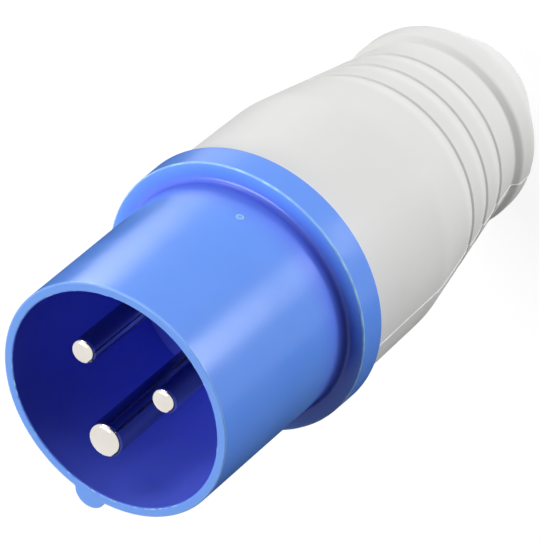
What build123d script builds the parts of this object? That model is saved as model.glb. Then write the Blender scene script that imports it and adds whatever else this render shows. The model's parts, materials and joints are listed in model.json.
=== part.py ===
"""Pin and sleeve plug with three pins: blue sleeve and collar, grey conical rear housing.

The plug stands on its cable end. The axis is +Z, from the cable end up to the open mouth, and the
earth pin and the key of the sleeve lie towards -Y. All sizes are in millimetres and degrees.
"""

import os
from math import cos, radians, sin, tan

from build123d import *

os.makedirs("parts", exist_ok=True)

# Lengths along the axis, from the mouth to the cable end
sleeve_length = 40.0
collar_thickness = 6.4
barrel_length = 27.0
taper_length = 39.2
flare_length = 6.7
tail_length = 13.7

# Mouth of the sleeve
mouth_diameter = 44.1
mouth_depth = 39.5
sleeve_wall = 1.7
outer_draft = 0.95
inner_draft = 0.5
rim_rounding = 0.3
rim_inner_rounding = 0.25
cove_radius = 1.0

# Key along the sleeve, which sets the clock position
key_width = 6.5
key_height = 2.6

# Contact pins
phase_pin_diameter = 5.0
earth_pin_diameter = 7.0
pin_circle_radius = 10.2
phase_tip_recess = 1.1
earth_tip_recess = 0.3
tip_rounding = 0.7
pin_seat_step = 0.2
pin_flange_diameter = 10.6
pin_flange_thickness = 1.8
terminal_diameter = 8.6
terminal_length = 15.0
wire_hole_diameter = 4.4
wire_hole_depth = 11.0
terminal_screw_diameter = 4.0
terminal_screw_length = 5.0
terminal_screw_setback = 5.0
screw_slot_width = 0.9
screw_slot_depth = 1.2

# Contact insert, pressed into the sleeve from behind
nose_margin = 2.6
floor_thickness = 3.0
ledge_width = 4.2
insert_flange_thickness = 5.5
snap_bead_height = 0.35
snap_bead_width = 1.2
clock_tab_width = 4.0

# Spigot of the sleeve inside the rear housing, held by a bayonet
spigot_wall = 3.85
spigot_length = 14.0
lug_count = 3
lug_height = 1.0
lug_width = 9.0
lug_thickness = 2.6
lug_turn = 45.0
seal_section = 1.2

# Rear housing
housing_wall = 2.2
collar_step = 1.45
collar_draft = 1.6
collar_edge = 0.3
neck_diameter = 41.6
flare_diameter = 43.9
flare_rise = 1.7
tail_diameter = 26.8
grip_count = 3
grip_start = 7.5
grip_pitch = 8.0
grip_depth = 0.32
grip_ramp = 2.9
grip_step_length = 0.4
barrel_blend = 22.0
tail_blend = 6.0

# Cable entry
entry_lip = 2.0
entry_diameter = 17.0
cable_diameter = 11.0
grommet_length = 8.0
grommet_recess = 0.4

# Pin retainer with the cradle of the cable clamp
retainer_thickness = 3.5
retainer_margin = 0.7
retainer_screw_circle_radius = 14.0
arm_thickness = 3.0
arm_width = 5.0
arm_length = 26.0
cradle_length = 11.0
cradle_depth = 4.0
bar_length = 9.0
bar_depth = 3.0
clamp_gap = 1.5
clamp_screw_spacing = 23.0

# Small screws of the retainer and the clamp
screw_diameter = 3.0
screw_head_diameter = 5.6
screw_head_height = 2.2
screw_bite = 5.0

# Clearances
seat_clearance = 0.15
bayonet_clearance = 0.2
pin_clearance = 0.05

# Levels above the cable end
tail_level = tail_length
neck_level = tail_level + flare_length
barrel_level = neck_level + taper_length
collar_rear = barrel_level + barrel_length
collar_front = collar_rear + collar_thickness
rim_level = collar_front + sleeve_length
floor_level = rim_level - mouth_depth
ledge_level = floor_level - floor_thickness
insert_rear = ledge_level - insert_flange_thickness
retainer_rear = insert_rear - retainer_thickness
terminal_rear = insert_rear - terminal_length
cradle_level = retainer_rear - arm_length
spigot_rear = collar_rear - spigot_length

# Radii, worked out from the pins outwards
mouth_radius = mouth_diameter / 2
floor_radius = mouth_radius - mouth_depth * tan(radians(inner_draft))
rim_radius = mouth_radius + sleeve_wall
root_radius = rim_radius + sleeve_length * tan(radians(outer_draft))
nose_radius = pin_circle_radius + earth_pin_diameter / 2 + nose_margin
insert_radius = nose_radius + ledge_width
spigot_bore = insert_radius + seat_clearance
spigot_radius = spigot_bore + spigot_wall
housing_bore = spigot_radius + bayonet_clearance
lug_radius = spigot_radius + lug_height
groove_radius = lug_radius + bayonet_clearance
barrel_radius = housing_bore + housing_wall
collar_rear_radius = barrel_radius + collar_step
collar_front_radius = collar_rear_radius - collar_thickness * tan(radians(collar_draft))
seal_radius = spigot_radius + seal_section / 2 + pin_clearance
seal_recess_radius = seal_radius + seal_section / 2 + pin_clearance
seal_recess_level = collar_rear - seal_section - pin_clearance
neck_radius = neck_diameter / 2
flare_radius = flare_diameter / 2
tail_radius = tail_diameter / 2
entry_radius = entry_diameter / 2
cable_radius = cable_diameter / 2
terminal_radius = terminal_diameter / 2
pin_flange_radius = pin_flange_diameter / 2
retainer_radius = insert_radius - snap_bead_height - retainer_margin
screw_radius = screw_diameter / 2

# The earth pin is at six o'clock, the other two a third of a turn to each side
earth_angle = 270.0
pin_spacing = 120.0
half_turn = 180.0
pin_plan = {
    "earth_pin": (earth_pin_diameter, earth_tip_recess, earth_angle),
    "line_pin": (phase_pin_diameter, phase_tip_recess, earth_angle + pin_spacing),
    "neutral_pin": (phase_pin_diameter, phase_tip_recess, earth_angle - pin_spacing),
}

pin_angles = [angle for diameter, recess, angle in pin_plan.values()]

# The retainer's screws stand halfway between the pins
retainer_screw_angles = [
    earth_angle + pin_spacing / 2,
    earth_angle - pin_spacing / 2,
    earth_angle + half_turn,
]


def turned_outline(*corners):
    """Closed outline of a section, through corners given as (across, up, rounding)."""
    points = [(across, up) for across, up, rounding in corners]
    roundings = [rounding for across, up, rounding in corners]
    FilletPolyline(*points, radius=roundings, close=True)


def polar_points(reach, angles):
    """Points at one distance from the axis, at the given angles."""
    return [(reach * cos(radians(angle)), reach * sin(radians(angle))) for angle in angles]


def rear_facing_plane(level):
    """Plane across the axis with its normal towards the cable end, which mirrors the angles."""
    return Plane(origin=(0, 0, level), x_dir=(1, 0, 0), z_dir=(0, 0, -1))


def mirrored(angles):
    """The given angles as they read on a plane that faces the cable end."""
    return [-angle for angle in angles]


def radial_plane(angle, reach, level):
    """Plane at a point off the axis, with its normal pointing straight outwards."""
    outwards = Vector(cos(radians(angle)), sin(radians(angle)), 0)
    return Plane(origin=outwards * reach + Vector(0, 0, level), x_dir=(0, 0, 1), z_dir=outwards)


def upright_plane(angle, reach):
    """Plane of a turned section: local x points outwards at the angle, local y is +Z."""
    outwards = Vector(cos(radians(angle)), sin(radians(angle)), 0)
    return Plane(origin=outwards * reach, x_dir=outwards, z_dir=outwards.cross(Vector(0, 0, 1)))


def across_plane(height):
    """Plane across the middle of the cable clamp, with its normal along +Y."""
    middle = cradle_level - cradle_length / 2
    return Plane(origin=(0, height, middle), x_dir=(1, 0, 0), z_dir=(0, 1, 0))


def cone_radius(level):
    """Outer radius of the grip cone at a level between the neck and the barrel."""
    return neck_radius + (barrel_radius - neck_radius) * (level - neck_level) / taper_length


# Blue sleeve with its collar, the floor ring of the mouth and the spigot behind
bead_top = insert_rear - seat_clearance
bead_bottom = bead_top - snap_bead_width
with BuildPart() as sleeve:
    with BuildSketch(Plane.XZ):
        with BuildLine():
            turned_outline(
                (rim_radius, rim_level, rim_rounding),
                (root_radius, collar_front, cove_radius),
                (collar_front_radius, collar_front, collar_edge),
                (collar_rear_radius, collar_rear, collar_edge),
                (spigot_radius, collar_rear, 0),
                (spigot_radius, spigot_rear, 0),
                (spigot_bore, spigot_rear, 0),
                (spigot_bore, bead_bottom, 0),
                (spigot_bore - snap_bead_height, (bead_top + bead_bottom) / 2, 0),
                (spigot_bore, bead_top, 0),
                (spigot_bore, ledge_level, 0),
                (nose_radius + seat_clearance, ledge_level, 0),
                (nose_radius + seat_clearance, floor_level, 0),
                (floor_radius, floor_level, 0),
                (mouth_radius, rim_level, rim_inner_rounding),
            )
        make_face()
    revolve(axis=Axis.Z)
    # Key with a half-round back, flush with the rim and running down to the collar
    key_back = key_width / 2
    with BuildSketch(Plane.XY.offset(collar_front)):
        with Locations((0, -(rim_radius + key_height - key_back))):
            Circle(key_back)
        Circle(rim_radius - sleeve_wall / 2, mode=Mode.SUBTRACT)
    extrude(amount=sleeve_length)
    # Bayonet lugs at the end of the spigot
    with BuildSketch(Plane.XY.offset(spigot_rear)):
        with PolarLocations(spigot_radius, lug_count, start_angle=earth_angle):
            Rectangle(spigot_wall, lug_width)
        Circle(lug_radius, mode=Mode.INTERSECT)
    extrude(amount=lug_thickness)
    # Notch that fixes the clock position of the contact insert
    with BuildSketch(Plane.XY.offset(ledge_level)):
        with Locations((0, -spigot_bore)):
            Rectangle(clock_tab_width, spigot_wall)
    extrude(amount=spigot_rear - ledge_level, mode=Mode.SUBTRACT)
sleeve.part.label = "sleeve"
export_step(sleeve.part, "parts/sleeve.step")

# Contact insert: its nose closes the mouth's floor, its flange seats behind the floor ring
tab_half = spigot_wall / 2 - seat_clearance
retainer_screw_places = polar_points(retainer_screw_circle_radius, mirrored(retainer_screw_angles))
with BuildPart() as contact_insert:
    with BuildSketch(Plane.XY.offset(floor_level)):
        Circle(nose_radius)
    extrude(amount=-(floor_thickness + insert_flange_thickness))
    with BuildSketch(Plane.XY.offset(ledge_level)):
        Circle(insert_radius)
        with Locations((0, -insert_radius)):
            Rectangle(clock_tab_width - 2 * seat_clearance, 2 * tab_half)
    extrude(amount=-insert_flange_thickness)
    for diameter, recess, angle in pin_plan.values():
        with Locations(rear_facing_plane(insert_rear)):
            with Locations(*polar_points(pin_circle_radius, mirrored([angle]))):
                CounterBoreHole(
                    diameter / 2 + pin_seat_step + pin_clearance,
                    pin_flange_radius + pin_clearance,
                    pin_flange_thickness,
                )
    with Locations(rear_facing_plane(insert_rear)):
        with Locations(*retainer_screw_places):
            Hole(screw_radius + pin_clearance, depth=screw_bite)
contact_insert.part.label = "contact_insert"
export_step(contact_insert.part, "parts/contact_insert.step")

# Contact pins, each with a flange in the insert and a screw terminal behind. The earth pin reaches
# furthest, so that it makes contact first
screw_level = terminal_rear + terminal_screw_setback
for name, (diameter, recess, angle) in pin_plan.items():
    pin_radius = diameter / 2
    tip_level = rim_level - recess
    flange_front = insert_rear + pin_flange_thickness
    with BuildPart() as pin:
        with BuildSketch(upright_plane(angle, pin_circle_radius)):
            with BuildLine():
                turned_outline(
                    (0, tip_level, 0),
                    (pin_radius, tip_level, tip_rounding),
                    (pin_radius, floor_level, 0),
                    (pin_radius + pin_seat_step, floor_level, 0),
                    (pin_radius + pin_seat_step, flange_front, 0),
                    (pin_flange_radius, flange_front, 0),
                    (pin_flange_radius, insert_rear, 0),
                    (terminal_radius, insert_rear, 0),
                    (terminal_radius, terminal_rear, 0),
                    (wire_hole_diameter / 2, terminal_rear, 0),
                    (wire_hole_diameter / 2, terminal_rear + wire_hole_depth, 0),
                    (0, terminal_rear + wire_hole_depth, 0),
                )
            make_face()
        revolve(axis=Axis(upright_plane(angle, pin_circle_radius).origin, (0, 0, 1)))
        with BuildSketch(radial_plane(angle, pin_circle_radius, screw_level)):
            Circle(terminal_screw_diameter / 2 + pin_clearance)
        extrude(amount=terminal_radius, mode=Mode.SUBTRACT)
    pin.part.label = name
    export_step(pin.part, f"parts/{name}.step")

# Slotted terminal screws, one across the back of each pin
with BuildPart() as terminal_screws:
    screw_start = pin_circle_radius + terminal_radius - terminal_screw_length / 2
    screw_end = screw_start + terminal_screw_length
    for angle in pin_angles:
        with BuildSketch(radial_plane(angle, screw_start, screw_level)):
            Circle(terminal_screw_diameter / 2)
        extrude(amount=terminal_screw_length)
        with BuildSketch(radial_plane(angle, screw_end, screw_level)):
            Rectangle(2 * terminal_screw_diameter, screw_slot_width)
        extrude(amount=-screw_slot_depth, mode=Mode.SUBTRACT)
terminal_screws.part.label = "terminal_screws"
export_step(terminal_screws.part, "parts/terminal_screws.step")

# Pin retainer: a plate over the pin flanges, with two arms and the cradle of the cable clamp
cradle_half_width = retainer_radius - arm_thickness / 2
arm_offset = cradle_half_width - arm_thickness / 2
cradle_bottom = -(cable_radius + cradle_depth)
cradle_top = -clamp_gap / 2
with BuildPart() as pin_retainer:
    with BuildSketch(Plane.XY.offset(insert_rear)):
        Circle(retainer_radius)
        with Locations(*polar_points(pin_circle_radius, pin_angles)):
            Circle(terminal_radius + seat_clearance, mode=Mode.SUBTRACT)
        with Locations(*polar_points(retainer_screw_circle_radius, retainer_screw_angles)):
            Circle(screw_radius + seat_clearance, mode=Mode.SUBTRACT)
    extrude(amount=-retainer_thickness)
    with BuildSketch(Plane.XY.offset(retainer_rear)):
        with Locations((arm_offset, 0), (-arm_offset, 0)):
            Rectangle(arm_thickness, arm_width)
    extrude(amount=-arm_length - cradle_length)
    with BuildSketch(Plane.XY.offset(cradle_level)):
        with Locations((0, (cradle_top + cradle_bottom) / 2)):
            Rectangle(2 * cradle_half_width, cradle_top - cradle_bottom)
        Circle(cable_radius, mode=Mode.SUBTRACT)
    extrude(amount=-cradle_length)
    with Locations(across_plane(cradle_top)):
        with GridLocations(clamp_screw_spacing, 1, 2, 1):
            Hole(screw_radius + pin_clearance, depth=screw_bite)
pin_retainer.part.label = "pin_retainer"
export_step(pin_retainer.part, "parts/pin_retainer.step")

# Clamp bar over the cradle, between the arms
bar_bottom = clamp_gap / 2
bar_top = cable_radius + bar_depth
bar_width = 2 * (arm_offset - arm_thickness / 2 - seat_clearance)
with BuildPart() as clamp_bar:
    with BuildSketch(Plane.XY.offset(cradle_level - (cradle_length - bar_length) / 2)):
        with Locations((0, (bar_bottom + bar_top) / 2)):
            Rectangle(bar_width, bar_top - bar_bottom)
        Circle(cable_radius, mode=Mode.SUBTRACT)
    extrude(amount=-bar_length)
    with Locations(across_plane(bar_top)):
        with GridLocations(clamp_screw_spacing, 1, 2, 1):
            Hole(screw_radius + seat_clearance)
clamp_bar.part.label = "clamp_bar"
export_step(clamp_bar.part, "parts/clamp_bar.step")


def pan_head_screws(name, head_seat, grip, places):
    """Group of slotted screws: heads on the plane, shanks reaching back through the grip."""
    with BuildPart() as screws:
        with BuildSketch(head_seat):
            with places:
                Circle(screw_radius)
        extrude(amount=-(grip + screw_bite - seat_clearance))
        with BuildSketch(head_seat):
            with places:
                Circle(screw_head_diameter / 2)
        extrude(amount=screw_head_height)
        with BuildSketch(head_seat.offset(screw_head_height)):
            with places:
                Rectangle(screw_head_diameter, screw_slot_width)
        extrude(amount=-screw_slot_depth, mode=Mode.SUBTRACT)
    screws.part.label = name
    export_step(screws.part, f"parts/{name}.step")


pan_head_screws(
    "retainer_screws",
    rear_facing_plane(retainer_rear),
    retainer_thickness,
    Locations(*retainer_screw_places),
)
pan_head_screws(
    "clamp_screws",
    across_plane(bar_top),
    bar_top - cradle_top,
    GridLocations(clamp_screw_spacing, 1, 2, 1),
)

# Round seal between the collar and the front edge of the housing
with BuildPart() as sleeve_seal:
    with BuildSketch(Plane.XZ):
        with Locations((seal_radius, collar_rear - seal_section / 2 - pin_clearance / 2)):
            Circle(seal_section / 2)
    revolve(axis=Axis.Z)
sleeve_seal.part.label = "sleeve_seal"
export_step(sleeve_seal.part, "parts/sleeve_seal.step")

# Rear housing: barrel, grip cone with stepped rings, neck, flare and tapered tail
tail_slope = (flare_radius - tail_radius) / tail_length
tail_wall = housing_wall * (1 + tail_slope**2) ** 0.5
entry_seat_radius = tail_radius + tail_slope * entry_lip - tail_wall
neck_bore = neck_radius - housing_wall
neck_bore_level = entry_lip + (neck_bore - entry_seat_radius) / tail_slope
groove_rear = spigot_rear - bayonet_clearance
groove_front = spigot_rear + lug_thickness + bayonet_clearance
grip_outline = []
for ring in reversed(range(grip_count)):
    step_level = neck_level + grip_start + ring * grip_pitch
    ramp_level = step_level + grip_ramp
    grip_outline.append((cone_radius(ramp_level), ramp_level, 2 * grip_depth))
    grip_outline.append((cone_radius(step_level) - grip_depth, step_level + grip_step_length, 0))
    grip_outline.append((cone_radius(step_level), step_level, grip_depth / 2))
with BuildPart() as rear_housing:
    with BuildSketch(Plane.XZ):
        with BuildLine():
            turned_outline(
                (barrel_radius, collar_rear, collar_edge),
                (barrel_radius, barrel_level, barrel_blend),
                *grip_outline,
                (neck_radius, neck_level, flare_rise / 2),
                (flare_radius, neck_level - flare_rise, flare_rise),
                (flare_radius, tail_level, tail_blend),
                (tail_radius, 0, entry_lip / 2),
                (entry_radius, 0, 0),
                (entry_radius, entry_lip, 0),
                (entry_seat_radius, entry_lip, 0),
                (neck_bore, neck_bore_level, 0),
                (neck_bore, neck_level, 0),
                (housing_bore, barrel_level, 0),
                (housing_bore, groove_rear, 0),
                (groove_radius, groove_rear, 0),
                (groove_radius, groove_front, 0),
                (housing_bore, groove_front, 0),
                (housing_bore, seal_recess_level, 0),
                (seal_recess_radius, seal_recess_level, 0),
                (seal_recess_radius, collar_rear, 0),
            )
        make_face()
    revolve(axis=Axis.Z)
    # Entry slots of the bayonet
    with BuildSketch(Plane.XY.offset(groove_rear)):
        with PolarLocations(housing_bore, lug_count, start_angle=earth_angle + lug_turn):
            Rectangle(spigot_wall, lug_width + 2 * bayonet_clearance)
        Circle(groove_radius, mode=Mode.INTERSECT)
    extrude(amount=seal_recess_level - groove_rear, mode=Mode.SUBTRACT)
rear_housing.part.label = "rear_housing"
export_step(rear_housing.part, "parts/rear_housing.step")

# Tapered rubber grommet, seated in the tail from inside
grommet_top = entry_lip + grommet_length
grommet_nose_radius = entry_radius - seat_clearance
grommet_seat_radius = entry_seat_radius - seat_clearance
with BuildPart() as cable_grommet:
    with BuildSketch(Plane.XZ):
        with BuildLine():
            Polyline(
                (cable_radius, grommet_recess),
                (grommet_nose_radius, grommet_recess),
                (grommet_nose_radius, entry_lip),
                (grommet_seat_radius, entry_lip),
                (grommet_seat_radius + tail_slope * grommet_length, grommet_top),
                (cable_radius, grommet_top),
                close=True,
            )
        make_face()
    revolve(axis=Axis.Z)
cable_grommet.part.label = "cable_grommet"
export_step(cable_grommet.part, "parts/cable_grommet.step")
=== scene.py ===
# %% [markdown]
# # A pin and sleeve plug
#
# This is a three-pin plug of the industrial and camping kind. A blue moulded sleeve with a wide collar
# guards three plated pins, and a pale grey housing behind it tapers down to the cable. The exact solids
# are loaded first and stay where they are. What the eye sees most, the two mouldings and the pins, is
# then made again as finer meshes in the same place, and everything gets a finish.

import json
import math

import bmesh
import bpy
from mathutils import Matrix, Vector, noise


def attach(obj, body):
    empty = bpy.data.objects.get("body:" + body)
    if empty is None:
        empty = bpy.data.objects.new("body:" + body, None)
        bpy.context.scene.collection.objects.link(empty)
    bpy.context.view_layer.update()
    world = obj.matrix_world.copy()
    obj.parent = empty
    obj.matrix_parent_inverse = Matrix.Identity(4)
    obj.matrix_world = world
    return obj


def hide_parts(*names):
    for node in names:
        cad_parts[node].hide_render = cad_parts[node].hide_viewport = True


MM = 0.001

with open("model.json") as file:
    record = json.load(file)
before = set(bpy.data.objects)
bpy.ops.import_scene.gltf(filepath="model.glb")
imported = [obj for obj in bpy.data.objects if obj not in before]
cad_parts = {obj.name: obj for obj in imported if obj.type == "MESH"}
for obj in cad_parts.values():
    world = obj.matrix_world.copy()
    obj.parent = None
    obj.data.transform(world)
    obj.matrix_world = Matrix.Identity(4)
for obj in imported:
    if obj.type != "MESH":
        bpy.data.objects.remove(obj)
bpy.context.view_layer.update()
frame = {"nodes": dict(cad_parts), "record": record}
print("solids:", ", ".join(sorted(frame["nodes"])))

# %% [markdown]
# ## One way to make every turned piece
#
# The sleeve, the housing and the pins are all turned shapes with small departures: a key, a moulding
# line, a burr. A Screw modifier would turn an outline, but it can't add those departures. So each piece
# is skinned through rings of points. An outline gives the rings, and a rule of the piece's own may move
# any point of a ring. The outline is written as the corners a draughtsman would give: radius, height
# and rounding, in millimetres.

# %% Outlines with rounded corners
ARC_STEP = 10.0  # largest turn between two points of a rounding, degrees
ARC_REACH = 0.9  # largest distance between them
RUN_STEP = 2.0  # distance between points of a straight run
HOLD = 0.12  # distance of a run's first and last points from its ends


def corner_bend(before, corner, after):
    """Points round one corner of an outline: the corner itself, or an arc if it is rounded."""
    here = Vector(corner[:2])
    rounding = corner[2]
    if rounding == 0:
        return [here]
    back = (Vector(before[:2]) - here).normalized()
    ahead = (Vector(after[:2]) - here).normalized()
    half = back.angle(ahead) / 2
    sweep = math.pi - 2 * half
    centre = here + (back + ahead).normalized() * rounding / math.sin(half)
    start = here + back * rounding / math.tan(half) - centre
    by_turn = math.ceil(math.degrees(sweep) / ARC_STEP)
    by_reach = math.ceil(sweep * rounding / ARC_REACH)
    steps = max(2, by_turn, by_reach)
    way = 1 if back.cross(ahead) < 0 else -1
    turns = [Matrix.Rotation(way * sweep * k / steps, 2) for k in range(steps + 1)]
    return [centre + turn @ start for turn in turns]


def straight_run(here, there):
    """Points between two bends, with one close to each end so that the shading stays crisp."""
    run = there - here
    if run.length < 4 * HOLD:
        return []
    steps = max(1, round(run.length / RUN_STEP))
    shares = [HOLD / run.length]
    shares += [k / steps for k in range(1, steps)]
    shares.append(1 - HOLD / run.length)
    return [here + run * share for share in shares]


def outline_points(corners, closed=True):
    """All points of an outline, in order, as (radius, height) in millimetres."""
    count = len(corners)
    bends = []
    for i, corner in enumerate(corners):
        if not closed and i in (0, count - 1):
            bends.append([Vector(corner[:2])])
        else:
            bends.append(corner_bend(corners[i - 1], corner, corners[(i + 1) % count]))
    points = []
    for i, bend in enumerate(bends):
        points += bend
        if closed or i < count - 1:
            points += straight_run(bend[-1], bends[(i + 1) % count][0])
    return points


# %% Skin through rings
SHARP_ANGLE = math.radians(32)
TINY = 0.001  # margin for comparing lengths, in millimetres


def smooth_except_edges(mesh):
    """Smooth shading with crisp edges where two faces meet at a clear angle."""
    mesh.shade_smooth()
    mesh.set_sharp_from_angle(angle=SHARP_ANGLE)


def round_ring(radius, height, steps, paleness=0.0):
    """Plain ring of so many points, or the single point of a pole on the axis."""
    around = [0.0] if radius < TINY else [360 * k / steps for k in range(steps)]
    return [(angle, radius, height, paleness) for angle in around]


def skinned_piece(name, rings, closed=True, centre=(0.0, 0.0)):
    """Object skinned through rings of (angle, radius, height, paleness), in degrees and millimetres.

    A ring of one point is a pole. The paleness is kept on the points for the finish to read.
    """
    skin = bmesh.new()
    pale_layer = skin.verts.layers.float.new("paleness")
    rows = []
    for ring in rings:
        row = []
        for angle, radius, height, paleness in ring:
            x = centre[0] + radius * math.cos(math.radians(angle))
            y = centre[1] + radius * math.sin(math.radians(angle))
            point = skin.verts.new(Vector((x, y, height)) * MM)
            point[pale_layer] = paleness
            row.append(point)
        rows.append(row)
    following = rows[1:] + rows[:1] if closed else rows[1:]
    for here, there in zip(rows, following):
        for k in range(max(len(here), len(there))):
            loop = [here[k % len(here)], here[(k + 1) % len(here)],
                    there[(k + 1) % len(there)], there[k % len(there)]]
            skin.faces.new(list(dict.fromkeys(loop)))
    bmesh.ops.recalc_face_normals(skin, faces=skin.faces)
    mesh = bpy.data.meshes.new(name)
    skin.to_mesh(mesh)
    skin.free()
    smooth_except_edges(mesh)
    piece = bpy.data.objects.new(name, mesh)
    bpy.context.scene.collection.objects.link(piece)
    print(f"{name}: {len(rings)} rings, {len(mesh.polygons)} faces")
    return piece


def put_on_root(piece, slot, *nodes):
    """The piece rides with the plug and hides the named solids it stands for. The slot is not used."""
    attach(piece, "root")
    if nodes:
        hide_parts(*nodes)


# %% [markdown]
# ## The blue sleeve
#
# The sleeve is one moulding: a thin tube with a little draft, a soft cove into the collar, and behind
# the collar a spigot that locks into the housing with three lugs. A half-round key runs along the
# underside and sets the clock position. On a real moulding the mouth's inner edge keeps a fine uneven
# burr, and the collar's front edge a thin line of flash. A boolean could add the key, but its seam
# would be ragged in the cove. Here each ring spreads some of its points across the key, so the crease
# runs cleanly along the mesh.

# %% Sizes of the sleeve
RIM = 133.0
RIM_RADIUS = 23.75
RIM_ROUNDING = 0.3
MOUTH_RADIUS = 21.9
MOUTH_EDGE = 0.35
FLOOR = 93.5
FLOOR_RADIUS = 21.705
FLOOR_HOLE = 16.45
LEDGE = 90.5
COLLAR_FRONT = 93.0
COLLAR_REAR = 86.6
COLLAR_FRONT_RADIUS = 28.171
COLLAR_REAR_RADIUS = 28.35
COLLAR_EDGE = 0.3
ROOT_RADIUS = 24.413
COVE = 1.0
SPIGOT_REAR = 72.6
SPIGOT_RADIUS = 24.5
SPIGOT_BORE = 20.65
SNAP_LEVEL = 84.25
SNAP_HALF_WIDTH = 0.6
SNAP_HEIGHT = 0.35
LUG_TOP = 75.2
LUG_SHOULDER = 0.02
LUG_HEIGHT = 1.0
LUG_HALF_WIDTH = 4.5
LUG_SPACING = 120
NOTCH_DEPTH = 1.925
NOTCH_HALF_WIDTH = 2.0
NOTCH_REACH = 0.4
KEY_ANGLE = 270.0
KEY_CENTRE = 23.1
KEY_BACK = 3.25
KEY_FOOT = 0.3

sleeve_corners = [
    (RIM_RADIUS, RIM, RIM_ROUNDING),
    (ROOT_RADIUS, COLLAR_FRONT, COVE),
    (COLLAR_FRONT_RADIUS, COLLAR_FRONT, COLLAR_EDGE),
    (COLLAR_REAR_RADIUS, COLLAR_REAR, COLLAR_EDGE),
    (SPIGOT_RADIUS, COLLAR_REAR, 0),
    (SPIGOT_RADIUS, LUG_TOP + LUG_SHOULDER, 0),
    (SPIGOT_RADIUS, LUG_TOP, 0),
    (SPIGOT_RADIUS, SPIGOT_REAR, 0),
    (SPIGOT_BORE, SPIGOT_REAR, 0),
    (SPIGOT_BORE, SNAP_LEVEL - SNAP_HALF_WIDTH, 0),
    (SPIGOT_BORE - SNAP_HEIGHT, SNAP_LEVEL, 0),
    (SPIGOT_BORE, SNAP_LEVEL + SNAP_HALF_WIDTH, 0),
    (SPIGOT_BORE, LEDGE, 0),
    (FLOOR_HOLE, LEDGE, 0),
    (FLOOR_HOLE, FLOOR, 0),
    (FLOOR_RADIUS, FLOOR, 0),
    (MOUTH_RADIUS, RIM, MOUTH_EDGE),
]

# %% Points across the key, and places round a ring
KEY_STEPS = 14


def key_spread(wall):
    """(angle from the key's middle, radius) of points across the key on a wall of that radius."""
    foot = min(wall + KEY_FOOT, KEY_CENTRE + KEY_BACK - KEY_FOOT)
    lean = (foot**2 - KEY_CENTRE**2 - KEY_BACK**2) / (2 * KEY_CENTRE * KEY_BACK)
    spread = math.acos(lean)
    points = []
    for k in range(-KEY_STEPS, KEY_STEPS + 1):
        turn = spread * k / KEY_STEPS
        across = KEY_BACK * math.sin(turn)
        out = KEY_CENTRE + KEY_BACK * math.cos(turn)
        points.append((math.degrees(math.atan2(across, out)), math.hypot(across, out)))
    return points


def near_lug(angle, radius, first, half_width):
    """True within half a width of one of three lugs spaced evenly from the first angle."""
    off = (angle - first + LUG_SPACING / 2) % LUG_SPACING - LUG_SPACING / 2
    return abs(radius * math.sin(math.radians(off))) < half_width


def near_angle(angle, middle, reach):
    """1 at the middle angle, fading to 0 over about that reach, in degrees."""
    off = (angle - middle + 180) % 360 - 180
    return math.exp(-((off / reach) ** 2))


def ring_noise(angle, beats, seed):
    """Smooth noise round a circle, about -1 to 1, with the given number of beats."""
    turn = math.radians(angle)
    reach = beats / (2 * math.pi)
    return noise.noise(Vector((reach * math.cos(turn), reach * math.sin(turn), seed)))


def ragged(angle, fine, coarse, coarse_share):
    """Ragged height round a circle, never below 0, from two noises of (beats, seed)."""
    return max(0.0, ring_noise(angle, *fine) + coarse_share * ring_noise(angle, *coarse))


# %% [markdown]
# ### Burr, flash, painted shade and painted light
#
# The burr is strongest near the key, as on the real plug. The points also carry a paleness for the
# finish. At 0 it is a painted shade: a deeper blue inside the mouth and at the foot of the sleeve,
# where little light comes. The outside is in between and keeps the blue's own colour. The rim and the
# lip of the mouth are painted lighter, a painted glow of light through the thin plastic. The rim's
# outer edge and the collar's front edge carry a painted highlight, and the collar's face is painted
# lighter towards its edge. The burr and the flash are paler, partly from their own whitening and partly
# as a painted highlight.

# %% Burr, flash, paleness, painted shade and painted light
OUTSIDE_PALENESS = 0.3
# Painted shade: a deeper blue at the foot of the sleeve fades out over this reach.
FOOT_SHADE_REACH = 8.0
FACE_SHADE_FADE = 14  # the collar's face counts as so many millimetres of wall in the fade
# Painted light on the collar's face, rising towards its edge.
FACE_PAINTED_LIGHT = 0.09
# Painted light on the rim's face, and a painted highlight on its outer rounding.
RIM_PAINTED_LIGHT = 0.4
RIM_EDGE_PAINTED_HIGHLIGHT = 0.48
BURR_NOISE = ((150, 1.7), (23, 4.1), 0.6)
BURR_LEAST = 0.4
BURR_AT_KEY = 1.3
BURR_SPREAD = 60.0
BURR_DEPTH = 0.25
BURR_RISE = 0.04
# The burr is paler, partly from its own whitening and partly as a painted highlight.
BURR_PALENESS = 2.0
# Painted light rising across the rounded lip of the mouth.
LIP_PAINTED_LIGHT = 0.1
LIP_PAINTED_LIGHT_GAIN = 0.3
FLASH_NOISE = ((90, 7.3), (11, 2.9), 0.5)
FLASH_HEIGHT = 0.05
# The flash is paler, partly from its own whitening and partly as a painted highlight.
FLASH_PALENESS = 0.75
# A painted highlight line runs along the whole front edge of the collar.
EDGE_PAINTED_HIGHLIGHT = 0.65
SCUFF_ANGLE = 90.0
SCUFF_REACH = 0.9
SCUFF_DEPTH = 0.1


def wall_paleness_with_painted_shade(radius, height):
    """Paleness of plain walls: painted shade in mouth and at the foot, painted light on the collar's
    face.
    """
    # Painted shade: paleness 0 inside the mouth, and fading in from the foot of the sleeve.
    paleness = OUTSIDE_PALENESS if radius > MOUTH_RADIUS + TINY else 0.0
    if height > COLLAR_FRONT - TINY:
        face = max(0.0, radius - ROOT_RADIUS) / (COLLAR_FRONT_RADIUS - ROOT_RADIUS)
        from_foot = FACE_SHADE_FADE * face + height - COLLAR_FRONT
        paleness *= min(1.0, from_foot / FOOT_SHADE_REACH)
        # Painted light on the collar's face towards its edge.
        paleness += FACE_PAINTED_LIGHT * face
    return paleness


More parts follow.
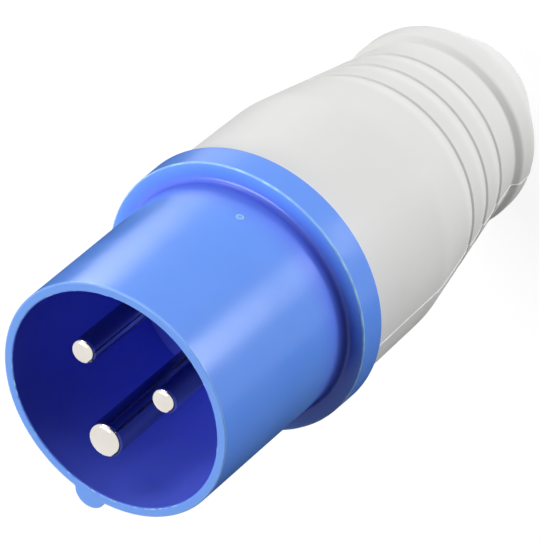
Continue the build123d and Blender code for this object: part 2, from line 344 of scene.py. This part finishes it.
def burr_at(angle, radius):
    """(strength, paleness) of the burr on the mouth's lip: painted light across the lip, paler burr."""
    strength = ragged(angle, *BURR_NOISE)
    strength *= BURR_LEAST + BURR_AT_KEY * near_angle(angle, KEY_ANGLE, BURR_SPREAD)
    across = (radius - MOUTH_RADIUS) / MOUTH_EDGE
    strength *= (1 - abs(2 * across - 1)) ** 2
    # Painted light across the lip, and a paler burr that is partly a painted highlight.
    return strength, min(1.0, LIP_PAINTED_LIGHT + LIP_PAINTED_LIGHT_GAIN * across + BURR_PALENESS * strength)


def flash_at(angle):
    """(strength, scuff, paleness) of the collar's front edge: painted highlight line, paler flash, a
    scuff.
    """
    strength = ragged(angle, *FLASH_NOISE)
    scuff = near_angle(angle, SCUFF_ANGLE, SCUFF_REACH)
    # A painted highlight line along the edge, a paler flash and a whitened scuff.
    return strength, scuff, min(1.0, EDGE_PAINTED_HIGHLIGHT + FLASH_PALENESS * strength + scuff)


# %% Rings of the sleeve
ROUND_STEPS = 330


def sleeve_ring(radius, height):
    """One ring of the sleeve, with the key, lugs, notch, burr and flash where they belong."""
    top_inner = MOUTH_RADIUS + MOUTH_EDGE
    top_outer = RIM_RADIUS - RIM_ROUNDING
    on_rim = height > RIM - RIM_ROUNDING - TINY and radius > top_inner - TINY
    on_wall = not on_rim and height > COLLAR_FRONT - TINY and radius > top_outer
    on_burr = height > RIM - MOUTH_EDGE - TINY and radius < top_inner - TINY
    on_edge = (COLLAR_FRONT - COLLAR_EDGE - TINY < height < COLLAR_FRONT + TINY
               and radius > COLLAR_FRONT_RADIUS - COLLAR_EDGE)
    on_lugs = height < LUG_TOP + TINY and abs(radius - SPIGOT_RADIUS) < TINY
    in_notch = height < LEDGE + TINY and SPIGOT_BORE - NOTCH_REACH < radius < SPIGOT_BORE + TINY

    spread = key_spread(radius if on_wall else RIM_RADIUS)
    edge = spread[-1][0] + math.degrees(KEY_FOOT / RIM_RADIUS)
    rest = 360 - 2 * edge
    ring = [(KEY_ANGLE + off, key_radius) for off, key_radius in spread]
    ring += [(KEY_ANGLE + edge + rest * k / ROUND_STEPS, 0.0) for k in range(ROUND_STEPS + 1)]

    points = []
    for angle, key_radius in ring:
        out, up = radius, height
        paleness = wall_paleness_with_painted_shade(radius, height)
        if on_wall:
            out = max(radius, key_radius)
        elif on_rim:
            share = min(1.0, (radius - top_inner) / (top_outer - top_inner))
            out += share * max(0.0, key_radius - RIM_RADIUS)
            # Painted light on the rim's face, and a painted highlight on its outer rounding.
            paleness = RIM_EDGE_PAINTED_HIGHLIGHT if radius > top_outer + TINY else RIM_PAINTED_LIGHT
        elif on_burr:
            strength, paleness = burr_at(angle, radius)
            out -= BURR_DEPTH * strength
            up += BURR_RISE * strength
        elif on_edge:
            strength, scuff, paleness = flash_at(angle)
            out += FLASH_HEIGHT * strength - SCUFF_DEPTH * scuff
            up += FLASH_HEIGHT * strength
        elif on_lugs and near_lug(angle, radius, KEY_ANGLE, LUG_HALF_WIDTH):
            out += LUG_HEIGHT
        elif in_notch and math.sin(math.radians(angle)) < 0:
            aside = abs(radius * math.sin(math.radians(angle - KEY_ANGLE)))
            out = SPIGOT_BORE + NOTCH_DEPTH if aside < NOTCH_HALF_WIDTH else out
        points.append((angle, out, up, paleness))
    return points


sleeve_rings = [sleeve_ring(*point) for point in outline_points(sleeve_corners)]
sleeve = skinned_piece("sleeve_moulding", sleeve_rings)
put_on_root(sleeve, "blue_plastic", "sleeve")

# %% [markdown]
# ## The gate mark
#
# The plastic entered the mould at one point on top of the sleeve, and a small ring with a nub is left
# there where the gate was cut off. It is far finer than the sleeve's own mesh, so it is a tiny turned
# piece of its own, sunk a little into the surface.

# %% Gate mark
GATE_LEVEL = 100.3
GATE_STEPS = 40
GATE_RIDGE = 0.03
GATE_RIDGE_PALENESS = 0.75
GATE_PALENESS = 0.42
gate_corners = [
    (0.0, 0.02, 0),
    (0.22, 0.015, 0),
    (0.4, 0.0, 0.1),
    (0.56, 0.075, 0.05),
    (0.74, 0.06, 0.05),
    (0.85, -0.15, 0),
    (0.0, -0.15, 0),
]
gate_rings = []
for radius, height in outline_points(gate_corners, closed=False):
    paleness = GATE_RIDGE_PALENESS if height > GATE_RIDGE else GATE_PALENESS
    gate_rings.append(round_ring(radius, height, GATE_STEPS, paleness))
gate_mark = skinned_piece("gate_mark", gate_rings, closed=False)
down_share = (RIM - GATE_LEVEL) / (RIM - COLLAR_FRONT)
gate_radius = RIM_RADIUS + (ROOT_RADIUS - RIM_RADIUS) * down_share
gate_place = Matrix.Translation(Vector((0, gate_radius, GATE_LEVEL)) * MM)
gate_mark.matrix_world = gate_place @ Matrix.Rotation(math.radians(-90), 4, "X")
put_on_root(gate_mark, "blue_plastic")

# %% [markdown]
# ## The grey housing
#
# The housing is a matte grey shell: a straight barrel, a long grip cone with three saw-tooth rings, a
# narrow neck, a flared ring and a tail that tapers to the cable. It was moulded in two halves of a
# tool, and where they met a fine ridge of flash runs along both sides, over every ring. The lower half
# sits a few hundredths of a millimetre inside the upper one. Each ring of the mesh therefore has a few
# points very close together at the two moulding lines.

# %% Sizes of the housing
BARREL_RADIUS = 26.9
BARREL_REAR = 59.6
BARREL_BLEND = 22.0
NECK = 20.4
NECK_RADIUS = 20.8
NECK_HOLLOW = 0.85
FLARE_RADIUS = 21.95
FLARE_FRONT = 18.7
FLARE_FRONT_ROUNDING = 1.7
FLARE_REAR = 13.7
FLARE_REAR_ROUNDING = 6.0
TAIL_RADIUS = 13.4
TAIL_ROUNDING = 1.0
CABLE_HOLE = 8.5
TAIL_WALL = 2.0
TAIL_BORE = 12.055
NECK_BORE = 18.6
NECK_BORE_REAR = 12.488
GRIP_COUNT = 3
GRIP_START = 7.5
GRIP_PITCH = 8.0
GRIP_DEPTH = 0.32
GRIP_RAMP = 2.9
GRIP_STEP = 0.4
GRIP_FOOT = 0.05
HOUSING_BORE = 24.7
GROOVE_RADIUS = 25.7
GROOVE_REAR = 72.4
GROOVE_FRONT = 75.4
SEAL_RECESS = 85.35
SEAL_BORE = 25.8


def cone_radius(height):
    """Outer radius of the grip cone at a height."""
    up_share = (height - NECK) / (BARREL_REAR - NECK)
    return NECK_RADIUS + (BARREL_RADIUS - NECK_RADIUS) * up_share


housing_corners = [
    (BARREL_RADIUS, COLLAR_REAR, COLLAR_EDGE),
    (BARREL_RADIUS, BARREL_REAR, BARREL_BLEND),
]
grip_steps = [NECK + GRIP_START + number * GRIP_PITCH for number in reversed(range(GRIP_COUNT))]
for step in grip_steps:
    housing_corners += [
        (cone_radius(step + GRIP_RAMP), step + GRIP_RAMP, 2 * GRIP_DEPTH),
        (cone_radius(step) - GRIP_DEPTH, step + GRIP_STEP, GRIP_FOOT),
        (cone_radius(step), step, GRIP_DEPTH / 2),
    ]
housing_corners += [
    (NECK_RADIUS, NECK, NECK_HOLLOW),
    (FLARE_RADIUS, FLARE_FRONT, FLARE_FRONT_ROUNDING),
    (FLARE_RADIUS, FLARE_REAR, FLARE_REAR_ROUNDING),
    (TAIL_RADIUS, 0.0, TAIL_ROUNDING),
    (CABLE_HOLE, 0.0, 0),
    (CABLE_HOLE, TAIL_WALL, 0),
    (TAIL_BORE, TAIL_WALL, 0),
    (NECK_BORE, NECK_BORE_REAR, 0),
    (NECK_BORE, NECK, 0),
    (HOUSING_BORE, BARREL_REAR, 0),
    (HOUSING_BORE, GROOVE_REAR, 0),
    (GROOVE_RADIUS, GROOVE_REAR, 0),
    (GROOVE_RADIUS, GROOVE_FRONT, 0),
    (HOUSING_BORE, GROOVE_FRONT, 0),
    (HOUSING_BORE, SEAL_RECESS, 0),
    (SEAL_BORE, SEAL_RECESS, 0),
    (SEAL_BORE, COLLAR_REAR, 0),
]

# %% Rings of the housing
LINE_OFFSETS = (-1.2, -0.8, -0.5, -0.33, -0.2, -0.1, 0.0, 0.1, 0.2, 0.33, 0.5, 0.8, 1.2)
HALF_STEPS = 150
LINE_HEIGHT = 0.14
LINE_WIDTH = 0.13
LINE_UNEVEN = 0.35
LINE_BEAT = 0.9
LINE_SEED = (180.0, 3.3)
HALF_SET = 0.05
CREASE = 0.2
# Painted highlight on the creases of the grip.
CREASE_PAINTED_HIGHLIGHT = 0.3
SLOT_ANGLE = 315.0
SLOT_HALF_WIDTH = 4.7

line_reach = LINE_OFFSETS[-1]
half_gap = 180 - 2 * line_reach
housing_angles = []
for line_angle in (0.0, 180.0):
    housing_angles += [line_angle + off for off in LINE_OFFSETS]
    half_start = line_angle + line_reach
    housing_angles += [half_start + half_gap * k / HALF_STEPS for k in range(1, HALF_STEPS)]


def housing_ring(radius, height, outside):
    """One ring of the housing, with the moulding lines outside and the bayonet slots inside."""
    in_slot = (GROOVE_FRONT - TINY < height < SEAL_RECESS + TINY
               and abs(radius - HOUSING_BORE) < TINY)
    creased = any(abs(height - step - GRIP_RAMP) < CREASE for step in grip_steps)
    uneven = 1 + LINE_UNEVEN * noise.noise(Vector((LINE_BEAT * height, *LINE_SEED)))
    points = []
    for angle in housing_angles:
        out, paleness = radius, 0.0
        if outside:
            off = (angle + 90) % 180 - 90
            arc = radius * math.radians(off)
            on_line = math.exp(-((arc / LINE_WIDTH) ** 2))
            lower = math.sin(math.radians(angle)) < 0
            out += LINE_HEIGHT * uneven * on_line - HALF_SET * (1 - on_line) * lower
            # Painted highlight along the moulding lines and the grip creases.
            paleness = max(on_line, CREASE_PAINTED_HIGHLIGHT * creased)
        elif in_slot and near_lug(angle, radius, SLOT_ANGLE, SLOT_HALF_WIDTH):
            out = GROOVE_RADIUS
        points.append((angle, out, height, paleness))
    return points


housing_points = outline_points(housing_corners)
tail_end = next(i for i, point in enumerate(housing_points) if point[1] < TINY)
housing_rings = [housing_ring(*point, i < tail_end) for i, point in enumerate(housing_points)]
housing = skinned_piece("housing_moulding", housing_rings)
put_on_root(housing, "grey_plastic", "rear_housing")

# %% [markdown]
# ## The pins
#
# The pins are turned brass, plated with bright nickel. Their ends are slightly domed, with a generous
# rounding so that they find the socket's tubes. Behind the insert each one has a flange and a terminal
# with a blind hole for the wire and a cross hole for its clamping screw. The turned shape is skinned
# like the rest. The cross hole cuts round curves into a round bar, which is what a boolean does best.
# Here the paleness marks the end, which keeps the nickel's colour, while the finish paints the barrel
# darker as a painted reflection of the dark mouth.

# %% Outline of a pin
TIP_DOME = 0.1
TIP_ROUNDING = 0.85
DOME_RADIUS_SHARE = 0.3
DOME_DROP_SHARE = 0.25
SHANK_STEP = 0.2
FLANGE_RADIUS = 5.3
FLANGE_FRONT = 86.8
FLANGE_REAR = 85.0
TERMINAL_RADIUS = 4.3
TERMINAL_REAR = 70.0
WIRE_HOLE = 2.2
WIRE_HOLE_FRONT = 81.0


def pin_corners(radius, tip):
    """Outline of a pin from its tip to the bottom of the wire hole."""
    return [
        (0.0, tip, 0),
        (DOME_RADIUS_SHARE * radius, tip - DOME_DROP_SHARE * TIP_DOME, 0),
        (radius, tip - TIP_DOME, TIP_ROUNDING),
        (radius, FLOOR, 0),
        (radius + SHANK_STEP, FLOOR, 0),
        (radius + SHANK_STEP, FLANGE_FRONT, 0),
        (FLANGE_RADIUS, FLANGE_FRONT, 0),
        (FLANGE_RADIUS, FLANGE_REAR, 0),
        (TERMINAL_RADIUS, FLANGE_REAR, 0),
        (TERMINAL_RADIUS, TERMINAL_REAR, 0),
        (WIRE_HOLE, TERMINAL_REAR, 0),
        (WIRE_HOLE, WIRE_HOLE_FRONT, 0),
        (0.0, WIRE_HOLE_FRONT, 0),
    ]


# %% Turned pins with a drilled cross hole
PIN_CIRCLE = 10.2
PIN_STEPS = 96
SCREW_LEVEL = 75.0
SCREW_HOLE = 2.05
BIT_LENGTH = 6.0
BIT_STEPS = 48
pins = {  # radius, height of the tip, angle
    "earth_pin": (3.5, 132.7, 270.0),
    "line_pin": (2.5, 131.9, 30.0),
    "neutral_pin": (2.5, 131.9, 150.0),
}
bit_corners = [
    (0.0, 0.0, 0),
    (SCREW_HOLE, 0.0, 0),
    (SCREW_HOLE, BIT_LENGTH, 0),
    (0.0, BIT_LENGTH, 0),
]


def drill(piece, tool):
    """Cuts the tool's shape out of the piece and removes the tool."""
    cut = piece.modifiers.new("hole", "BOOLEAN")
    cut.operation = "DIFFERENCE"
    cut.solver = "EXACT"
    cut.object = tool
    shapes = bpy.context.evaluated_depsgraph_get()
    drilled = bpy.data.meshes.new_from_object(piece.evaluated_get(shapes))
    piece.modifiers.clear()
    piece.data = drilled
    bpy.data.objects.remove(tool)
    smooth_except_edges(drilled)


for name, (radius, tip, angle) in pins.items():
    outwards = Vector((math.cos(math.radians(angle)), math.sin(math.radians(angle)), 0))
    middle = (PIN_CIRCLE * math.cos(math.radians(angle)), PIN_CIRCLE * math.sin(math.radians(angle)))
    barrel_end = tip - TIP_DOME - TIP_ROUNDING
    pin_rings = []
    for out, height in outline_points(pin_corners(radius, tip), closed=False):
        # Below the rounded end the barrel gets a painted dark reflection in the finish.
        undarkened_end = 1.0 if height > barrel_end - TINY else 0.0
        pin_rings.append(round_ring(out, height, PIN_STEPS, undarkened_end))
    pin = skinned_piece(name + "_turned", pin_rings, closed=False, centre=middle)
    bit_points = outline_points(bit_corners, closed=False)
    bit_rings = [round_ring(*point, BIT_STEPS) for point in bit_points]
    bit = skinned_piece("bit", bit_rings, closed=False)
    bit_turn = outwards.to_track_quat("Z", "Y").to_matrix().to_4x4()
    bit.matrix_world = Matrix.Translation(Vector((*middle, SCREW_LEVEL)) * MM) @ bit_turn
    drill(pin, bit)
    put_on_root(pin, "nickel_plated_brass", name)

# %% [markdown]
# ## Finishes
#
# Every finish is a Principled shader fed by noise in the object's own coordinates, so nothing needs an
# unwrapped map and the grain keeps its true size. Numbers that are the same all over a piece sit on the
# shader's own sockets. The paleness that the meshes carry tells the finish where a piece keeps its own
# colour, where it is paler, and where shade or light is painted into the colour.

# %% Nodes that the finishes share
NOISE_LOW = 0.3  # noise seldom leaves the range between these two
NOISE_HIGH = 0.7


def new_finish(name, **sockets):
    """Material with its Principled shader's sockets set, and the tools to add nodes to it."""
    material = bpy.data.materials.new(name)
    material.use_nodes = True
    tree = material.node_tree
    shader = tree.nodes["Principled BSDF"]
    for socket, value in sockets.items():
        shader.inputs[socket.replace("_", " ")].default_value = value
    place = tree.nodes.new("ShaderNodeTexCoord").outputs["Object"]
    return material, tree, shader, place


def add_noise(tree, place, beats, detail=3.0, roughness=0.5):
    """Noise with so many beats in a metre, as a value from 0 to 1."""
    node = tree.nodes.new("ShaderNodeTexNoise")
    node.inputs["Scale"].default_value = beats
    node.inputs["Detail"].default_value = detail
    node.inputs["Roughness"].default_value = roughness
    tree.links.new(place, node.inputs["Vector"])
    return node.outputs["Fac"]


def add_range(tree, value, low, high):
    """A noise value brought to the range from low to high."""
    node = tree.nodes.new("ShaderNodeMapRange")
    node.inputs["From Min"].default_value = NOISE_LOW
    node.inputs["From Max"].default_value = NOISE_HIGH
    node.inputs["To Min"].default_value = low
    node.inputs["To Max"].default_value = high
    tree.links.new(value, node.inputs["Value"])
    return node.outputs["Result"]


def add_mix(tree, share, first, second):
    """Colour between two, each a colour or a socket, by a share that is a socket."""
    node = tree.nodes.new("ShaderNodeMix")
    node.data_type = "RGBA"
    tree.links.new(share, node.inputs["Factor"])
    for value, name in ((first, "A"), (second, "B")):
        socket = next(s for s in node.inputs if s.name == name and s.type == "RGBA")
        if isinstance(value, bpy.types.NodeSocket):
            tree.links.new(value, socket)
        else:
            socket.default_value = (*value, 1.0)
    return next(s for s in node.outputs if s.type == "RGBA")


def add_ramp(tree, value, stops):
    """Colour that runs through the stops, each a (place, colour), as the value rises."""
    node = tree.nodes.new("ShaderNodeValToRGB")
    ramp = node.color_ramp
    while len(ramp.elements) < len(stops):
        ramp.elements.new(0.5)
    for element, (position, colour) in zip(ramp.elements, stops):
        element.position = position
        element.color = (*colour, 1.0)
    tree.links.new(value, node.inputs["Fac"])
    return node.outputs["Color"]


def add_paleness(tree):
    """The paleness that the mesh carries, or 0 if it carries none."""
    node = tree.nodes.new("ShaderNodeAttribute")
    node.attribute_name = "paleness"
    return node.outputs["Fac"]


def add_cloud(tree, place, first, second, beats, detail=3.0, depth=1.0):
    """Colour that drifts slowly from the first towards the second, by the depth at most."""
    share = add_range(tree, add_noise(tree, place, beats, detail), 0.0, depth)
    return add_mix(tree, share, first, second)


def set_colour(tree, shader, colour):
    """The shader takes its base colour from a socket."""
    tree.links.new(colour, shader.inputs["Base Color"])


def set_roughness(tree, shader, place, low, high, beats, detail=3.0):
    """The shader's roughness drifts between two values."""
    value = add_range(tree, add_noise(tree, place, beats, detail), low, high)
    tree.links.new(value, shader.inputs["Roughness"])


def set_bump(tree, shader, height, depth, strength):
    """Relief of that depth in metres on the shader."""
    node = tree.nodes.new("ShaderNodeBump")
    node.inputs["Strength"].default_value = strength
    node.inputs["Distance"].default_value = depth
    tree.links.new(height, node.inputs["Height"])
    tree.links.new(node.outputs["Normal"], shader.inputs["Normal"])


# %% [markdown]
# ### Blue polyamide
#
# The sleeve is dyed through and has a satin skin from a polished mould. A colour ramp follows the
# paleness. A deeper blue is painted shade in the mouth and at the foot of the sleeve. The blue's own
# colour is outside. Pale blue is painted light on the rim, the lip and the collar's face, a painted
# highlight on the rim's edge and the collar's edge, and also marks burr and flash, which are a little
# paler of their own. Light enters the plastic a little, so the thin rim glows. A low subsurface weight
# gives part of that glow, and the painted light on the rim gives the rest. A slow roughness noise keeps
# the long highlights soft.

# %% Blue finish
# Painted shade colour for the inside of the mouth and the foot of the sleeve.
PAINTED_SHADE_BLUE = (0.113, 0.162, 0.860)
OUTSIDE_BLUE = (0.129, 0.315, 0.960)
PALE_BLUE = (0.430, 0.740, 0.990)
blue, tree, shader, place = new_finish(
    "satin_blue_polyamide",
    IOR=1.5,
    Specular_IOR_Level=0.33,
    Subsurface_Weight=0.15,
    Subsurface_Radius=(0.25, 0.5, 1.0),
    Subsurface_Scale=0.0016,
)
blues = ((0.0, PAINTED_SHADE_BLUE), (OUTSIDE_PALENESS, OUTSIDE_BLUE), (1.0, PALE_BLUE))
base = add_ramp(tree, add_paleness(tree), blues)
set_colour(tree, shader, add_cloud(tree, place, base, PALE_BLUE, beats=55.0, depth=0.04))
set_roughness(tree, shader, place, 0.21, 0.27, beats=130.0, detail=1.0)
ripple = add_noise(tree, place, beats=450.0, detail=1.0)
set_bump(tree, shader, ripple, depth=0.00002, strength=0.4)

# %% [markdown]
# ### Grey polyamide
#
# The housing is paler and duller: the mould was spark eroded, which leaves a fine even grain for grip.
# The grain is real relief, but far too small for the mesh, so it is bump. A slow noise shifts the grey
# slightly from warm to cool as handling does. The moulding lines and the creases of the grip are
# painted paler, a painted highlight along them.

# %% Grey finish
WARM_GREY = (0.725, 0.726, 0.714)
COOL_GREY = (0.755, 0.756, 0.749)
# Painted highlight colour for the moulding lines and the grip creases.
HIGHLIGHT_PAINTED_GREY = (0.90, 0.90, 0.89)
grey, tree, shader, place = new_finish("grained_grey_polyamide", IOR=1.48)
base = add_cloud(tree, place, WARM_GREY, COOL_GREY, beats=38.0)
set_colour(tree, shader, add_mix(tree, add_paleness(tree), base, HIGHLIGHT_PAINTED_GREY))
set_roughness(tree, shader, place, 0.50, 0.62, beats=600.0)
grain = add_noise(tree, place, beats=4200.0, detail=4.0, roughness=0.65)
set_bump(tree, shader, grain, depth=0.00004, strength=0.3)

# %% [markdown]
# ### Bright nickel
#
# The pins are smooth plated metal. The barrels are painted darker than the ends, a painted reflection
# of the dark mouth around them, and the paleness tells which is which. Fine rings from turning still
# show under the plating, so a wave along the axis gives a very shallow relief.

# %% Nickel finish
# Painted dark reflection on the barrels; the ends keep the nickel's own tones.
PAINTED_REFLECTION_NICKEL = (0.36, 0.36, 0.35)
WARM_NICKEL = (0.74, 0.71, 0.65)
BRIGHT_NICKEL = (0.82, 0.79, 0.74)
nickel, tree, shader, place = new_finish("bright_nickel", Metallic=1.0)
end_nickel_tone = add_cloud(tree, place, WARM_NICKEL, BRIGHT_NICKEL, beats=160.0)
set_colour(tree, shader, add_mix(tree, add_paleness(tree), PAINTED_REFLECTION_NICKEL, end_nickel_tone))
set_roughness(tree, shader, place, 0.10, 0.19, beats=900.0, detail=4.0)
turning = tree.nodes.new("ShaderNodeTexWave")
turning.bands_direction = "Z"
turning.inputs["Scale"].default_value = 900.0
turning.inputs["Distortion"].default_value = 1.2
tree.links.new(place, turning.inputs["Vector"])
set_bump(tree, shader, turning.outputs["Fac"], depth=0.000004, strength=0.2)

# %% [markdown]
# ### Zinc, inner plastic and rubber
#
# These are inside the closed housing or under the tail: zinc-plated screws, the plain plastic of the
# retainer and clamp, and the soft black seal and grommet. They keep their solids and get a finish each.

# %% Inner finishes
zinc, tree, shader, place = new_finish("zinc_plated_steel", Metallic=1.0)
base = add_cloud(tree, place, (0.58, 0.59, 0.61), (0.70, 0.70, 0.69), beats=300.0)
set_colour(tree, shader, base)
set_roughness(tree, shader, place, 0.24, 0.40, beats=1500.0)

inner, tree, shader, place = new_finish("plain_inner_plastic", IOR=1.48)
base = add_cloud(tree, place, (0.63, 0.63, 0.60), (0.70, 0.70, 0.68), beats=90.0)
set_colour(tree, shader, base)
set_roughness(tree, shader, place, 0.42, 0.55, beats=800.0)
set_bump(tree, shader, add_noise(tree, place, beats=3000.0), depth=0.00003, strength=0.25)

rubber, tree, shader, place = new_finish("black_rubber", IOR=1.5)
base = add_cloud(
    tree, place, (0.016, 0.016, 0.017), (0.032, 0.032, 0.034), beats=140.0, detail=4.0
)
set_colour(tree, shader, base)
set_roughness(tree, shader, place, 0.62, 0.80, beats=900.0)
grain = add_noise(tree, place, beats=2400.0, detail=4.0)
set_bump(tree, shader, grain, depth=0.00005, strength=0.4)

# %% Give every piece its finish
finishes = {
    "blue_plastic": blue,
    "grey_plastic": grey,
    "nickel_plated_brass": nickel,
    "steel_screw": zinc,
    "inner_plastic": inner,
    "rubber_seal": rubber,
}
for piece in (sleeve, gate_mark):
    piece.data.materials.append(blue)
housing.data.materials.append(grey)
for name in pins:
    pin_mesh = bpy.data.objects[name + "_turned"].data
    pin_mesh.materials.clear()
    pin_mesh.materials.append(nickel)
for subpart in frame["record"]["subparts"]:
    solid = frame["nodes"][subpart["node"]]
    for slot in solid.material_slots:
        slot.material = finishes[subpart["material_slot"]]
print("finishes:", ", ".join(finish.name for finish in finishes.values()))

# %% [markdown]
# ## Floor and light
#
# The plug stands on its cable end on a white acrylic shooting table, lit from above, from the sides
# and through the table from below, as small goods often are. The table glows nearly white and takes
# just enough light from the lamps to show the plug's shadow. The surroundings are white to the camera
# and in reflections, and light the plug evenly at a low level.

# %% Shooting table
TABLE_RADIUS = 1.5
TABLE_SEGMENTS = 96
TABLE_GAP = 0.05
table = bmesh.new()
bmesh.ops.create_circle(table, cap_ends=True, segments=TABLE_SEGMENTS, radius=TABLE_RADIUS)
floor_mesh = bpy.data.meshes.new("shooting_table")
table.to_mesh(floor_mesh)
table.free()
floor = bpy.data.objects.new("shooting_table", floor_mesh)
floor.location.z = -TABLE_GAP * MM
floor.visible_diffuse = False
floor.visible_glossy = False
floor.visible_shadow = False
bpy.context.scene.collection.objects.link(floor)
acrylic, *_ = new_finish(
    "white_acrylic",
    Base_Color=(0.20, 0.20, 0.20, 1.0),
    Roughness=0.9,
    Specular_IOR_Level=0.0,
    Emission_Color=(1.0, 1.0, 1.0, 1.0),
    Emission_Strength=0.885,
)
floor.data.materials.append(acrylic)
print("floor:", floor.name)

# %% White surroundings
AMBIENT = 0.066
world = bpy.data.worlds.new("white_room")
bpy.context.scene.world = world
world.use_nodes = True
tree = world.node_tree
room = tree.nodes["Background"]
room.inputs["Color"].default_value = (1.0, 1.0, 1.0, 1.0)
rays = tree.nodes.new("ShaderNodeLightPath")
either = tree.nodes.new("ShaderNodeMath")
either.operation = "MAXIMUM"
any_seen = tree.nodes.new("ShaderNodeMath")
any_seen.operation = "MAXIMUM"
brightness = tree.nodes.new("ShaderNodeMapRange")
brightness.inputs["To Min"].default_value = AMBIENT
brightness.inputs["To Max"].default_value = 1.0
tree.links.new(rays.outputs["Is Camera Ray"], either.inputs[0])
tree.links.new(rays.outputs["Is Glossy Ray"], either.inputs[1])
tree.links.new(either.outputs[0], any_seen.inputs[0])
tree.links.new(rays.outputs["Is Transmission Ray"], any_seen.inputs[1])
tree.links.new(any_seen.outputs[0], brightness.inputs["Value"])
tree.links.new(brightness.outputs["Result"], room.inputs["Strength"])
print("surroundings:", world.name)

# %% [markdown]
# ### Soft boxes
#
# Eight soft boxes shape the plug. The key box stands high and lights the rim, the collar's face and the
# inside of the mouth. The front, top and rear boxes light the outside from three sides. Two long strips
# draw the bright lines along the sleeve. Two fill boxes lift the side that would be in shade, one of
# them close to the tail: they light the plug but don't show in reflections, so they add no highlights
# of their own.

# %% Soft boxes
AIM = Vector((0.0, 0.0, 0.1))
soft_boxes = {  # azimuth, elevation, distance, width, height, watts
    "key_box": (164, 66, 1.2, 0.60, 0.60, 12.2),
    "front_box": (134, 20, 1.2, 0.45, 0.45, 2.45),
    "top_box": (78, -18, 1.2, 0.55, 0.55, 4.85),
    "right_box": (46, -34, 1.2, 0.55, 0.55, 3.5),
    "right_strip": (46, -35, 1.2, 0.42, 0.14, 4.8),
    "left_strip": (160, -35.5, 1.2, 0.70, 0.14, 4.1),
    "side_box": (-26, -18, 0.24, 0.12, 0.12, 0.08),
    "rear_box": (-120, -12, 1.2, 0.80, 0.80, 4.9),
}
fill_boxes = ("right_box", "side_box")


def direction(azimuth, elevation):
    """Unit vector at an azimuth and elevation in degrees."""
    turn, rise = math.radians(azimuth), math.radians(elevation)
    flat = math.cos(rise)
    return Vector((flat * math.cos(turn), flat * math.sin(turn), math.sin(rise)))


for name, (azimuth, elevation, distance, width, height, watts) in soft_boxes.items():
    lamp = bpy.data.lights.new(name, "AREA")
    lamp.shape = "RECTANGLE"
    lamp.size = width
    lamp.size_y = height
    lamp.energy = watts
    box = bpy.data.objects.new(name, lamp)
    away = direction(azimuth, elevation)
    box.location = AIM + away * distance
    box.rotation_euler = away.to_track_quat("Z", "Y").to_euler()
    box.visible_camera = False
    box.visible_glossy = name not in fill_boxes
    bpy.context.scene.collection.objects.link(box)
bpy.context.scene.view_settings.view_transform = "Standard"
print("soft boxes:", ", ".join(soft_boxes))

# %% [markdown]
# ### Dark cards
#
# In white surroundings alone, a satin skin looks washed out at its flanks, where it reflects most. Two
# curved dark cards stand round the plug for reflections only. The low one keeps the flanks of the
# sleeve deep. The right one darkens the edges of the pin ends and the cove at the foot of the sleeve.

# %% Dark cards
CARD_DISTANCE = 0.9
CARD_STEPS = 24
cards = {  # first and last azimuth, lowest and highest elevation
    "low_card": (-175, -5, -64, -28),
    "right_card": (-90, 100, -4, 36),
}
black, *_ = new_finish(
    "black_card",
    Base_Color=(0.02, 0.02, 0.02, 1.0),
    Specular_IOR_Level=0.0,
)
for name, (first, last, lowest, highest) in cards.items():
    sheet = bmesh.new()
    columns = []
    for k in range(CARD_STEPS + 1):
        azimuth = first + (last - first) * k / CARD_STEPS
        ends = [AIM + direction(azimuth, rise) * CARD_DISTANCE for rise in (lowest, highest)]
        columns.append([sheet.verts.new(end) for end in ends])
    for here, there in zip(columns, columns[1:]):
        sheet.faces.new((*here, *reversed(there)))
    card_mesh = bpy.data.meshes.new(name)
    sheet.to_mesh(card_mesh)
    sheet.free()
    card_mesh.materials.append(black)
    card = bpy.data.objects.new(name, card_mesh)
    card.visible_camera = False
    card.visible_diffuse = False
    card.visible_shadow = False
    bpy.context.scene.collection.objects.link(card)
print("dark cards:", ", ".join(cards))

# %% [markdown]
# ## Camera
#
# A long lens looks down into the mouth from above and to one side, and the camera is rolled so that
# the plug points to the lower left. Its place and its three axes were fitted to the rims, the collar's
# edges and the pin ends.

# %% Camera
CAMERA_PLACE = (170.998, 356.290, 491.311)
CAMERA_RIGHT = (0.82156, 0.21504, -0.52802)
CAMERA_UP = (-0.48511, 0.75022, -0.44926)
CAMERA_BACK = (0.29952, 0.62524, 0.72067)
lens = bpy.data.cameras.new("camera")
lens.sensor_width = 36.0
lens.lens = 200.0
lens.clip_start = 0.01
lens.clip_end = 20.0
camera = bpy.data.objects.new("camera", lens)
camera_turn = Matrix((CAMERA_RIGHT, CAMERA_UP, CAMERA_BACK)).transposed().to_4x4()
camera.matrix_world = Matrix.Translation(Vector(CAMERA_PLACE) * MM) @ camera_turn
bpy.context.scene.collection.objects.link(camera)
bpy.context.scene.camera = camera
print("camera:", lens.lens, "mm lens")
